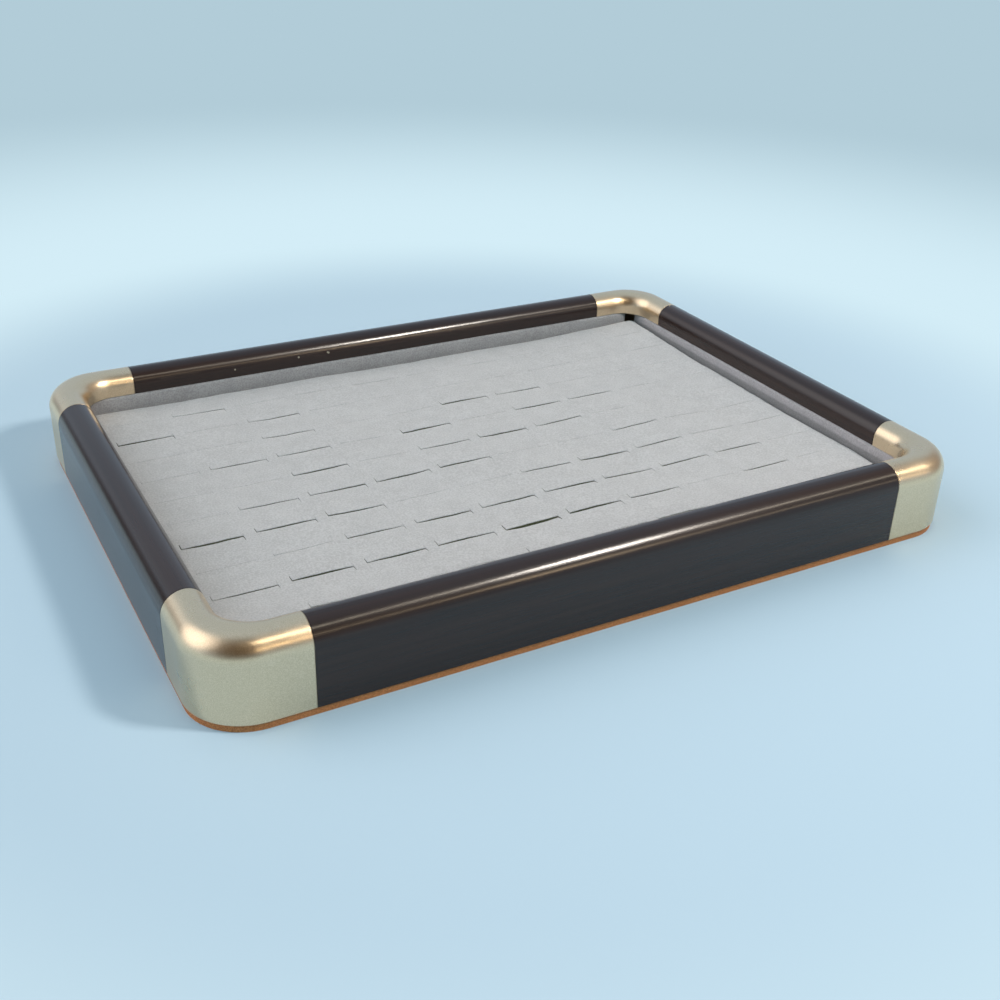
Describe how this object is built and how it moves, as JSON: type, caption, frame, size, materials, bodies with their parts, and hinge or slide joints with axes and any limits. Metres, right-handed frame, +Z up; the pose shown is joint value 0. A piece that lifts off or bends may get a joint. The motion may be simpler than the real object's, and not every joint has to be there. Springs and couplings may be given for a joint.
{
  "type": "ring display tray",
  "caption": "Rectangular ring display tray: bullnose rails in a dark wood finish, champagne cast corners, cloth lining and a loose foam pad with rows of slits.",
  "frame": {"origin": "middle of the plan, on the surface the tray stands on", "axes": "+X along the long side, +Y from the front to the back of the view, +Z up"},
  "size_m": [0.35, 0.259, 0.037],
  "materials": {
    "base_board": "matte",
    "rail": "satin",
    "corner": "satin",
    "lining_board": "matte",
    "lining_cloth": "matte",
    "pad_board": "matte",
    "pad_foam": "matte",
    "pad_cover": "matte",
    "screw": "satin"
  },
  "bodies": {
    "root": {"base_board": "base_board", "rail_front": "rail", "rail_back": "rail", "rail_left": "rail", "rail_right": "rail", "corner_front_left": "corner", "corner_front_right": "corner", "corner_back_left": "corner", "corner_back_right": "corner", "lining_board_front": "lining_board", "lining_board_back": "lining_board", "lining_board_left": "lining_board", "lining_board_right": "lining_board", "lining_cloth_front": "lining_cloth", "lining_cloth_back": "lining_cloth", "lining_cloth_left": "lining_cloth", "lining_cloth_right": "lining_cloth", "pad_board": "pad_board", "pad_foam": "pad_foam", "pad_cover": "pad_cover", "corner_screws": "screw", "rail_screws": "screw"}
  },
  "joints": []
}
